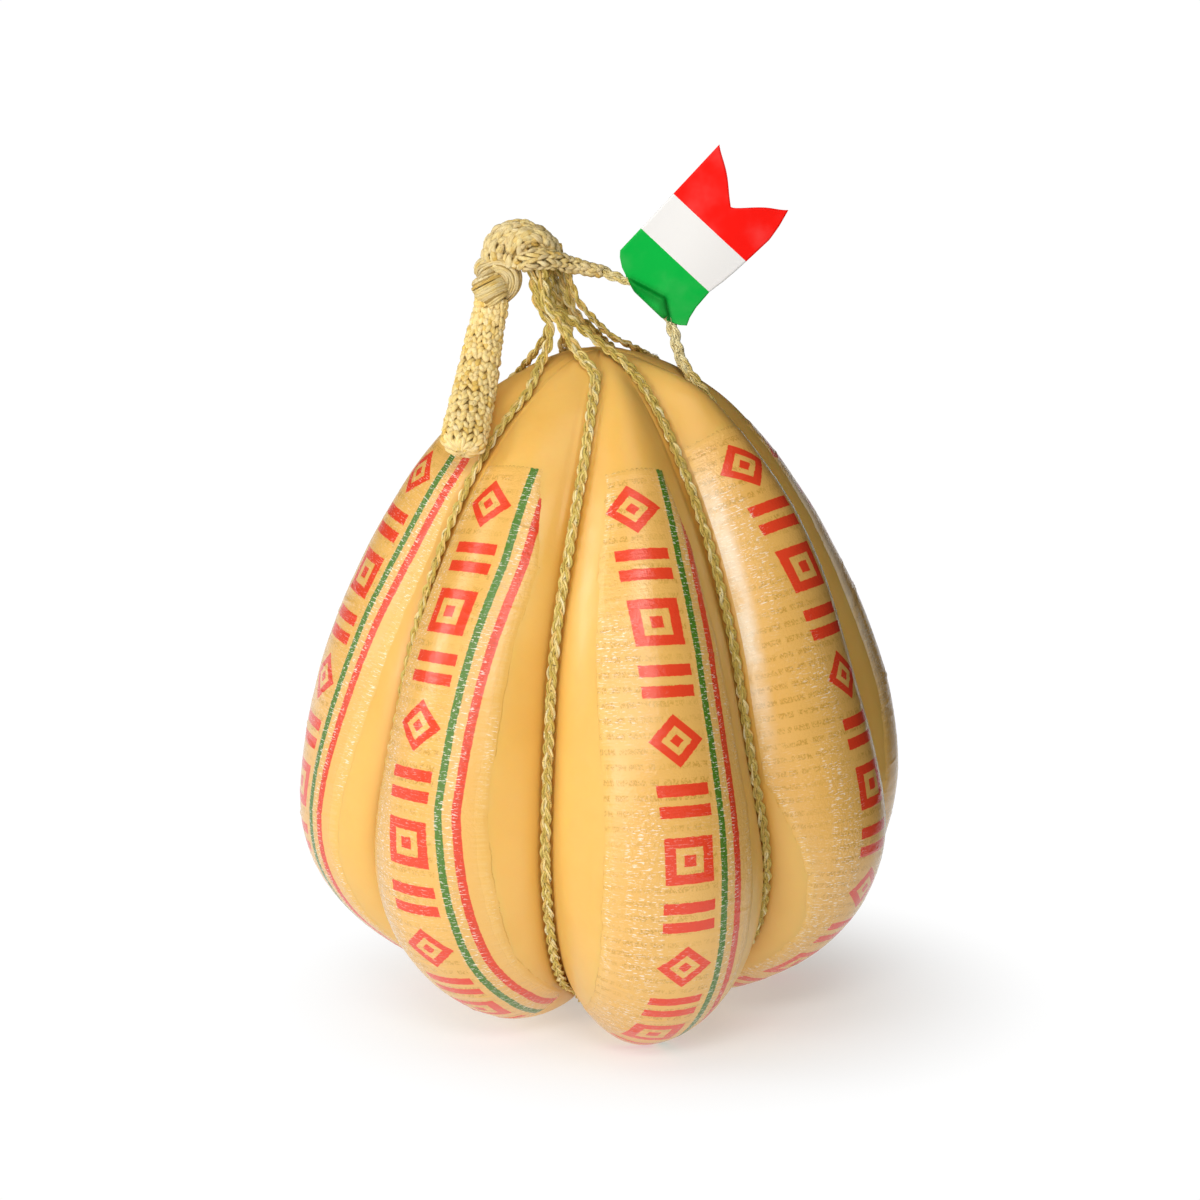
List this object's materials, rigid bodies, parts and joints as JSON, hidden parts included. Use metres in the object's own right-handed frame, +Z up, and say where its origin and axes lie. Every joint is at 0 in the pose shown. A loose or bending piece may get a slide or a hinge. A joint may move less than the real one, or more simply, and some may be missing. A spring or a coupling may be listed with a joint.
{
  "type": "sharp provolone cheese",
  "caption": "Whole pear-shaped waxed cheese pressed into deep lobes by plaited cords that meet in a knot at the top, with clear film strips over the lobes and a folded flag label.",
  "frame": {"origin": "centre of the footprint, on the surface that the cheese stands on", "axes": "+Z up along the cheese, from its resting lobes to its knot; -Y towards the viewer of the picture; +X to the right in it"},
  "size_m": [0.1828, 0.1853, 0.2604],
  "materials": {
    "wax": "pale golden cheese rind under a thin satin wax",
    "film": "clear printed film stuck to the wax, with fine wrinkles",
    "raffia": "dry plaited raffia, matt and fibrous",
    "tag_paper": "coated label stock in green, white and red"
  },
  "bodies": {
    "root": {"cheese": "wax", "film_1": "film", "film_2": "film", "film_3": "film", "film_4": "film", "film_5": "film", "film_6": "film", "film_7": "film", "film_8": "film", "cord_1": "raffia", "cord_2": "raffia", "cord_3": "raffia", "cord_4": "raffia", "cord_5": "raffia", "cord_6": "raffia", "cord_7": "raffia", "cord_8": "raffia", "cord_ring": "raffia", "knot_top": "raffia", "knot_wrap": "raffia", "tail": "raffia", "tag": "tag_paper"}
  },
  "joints": []
}
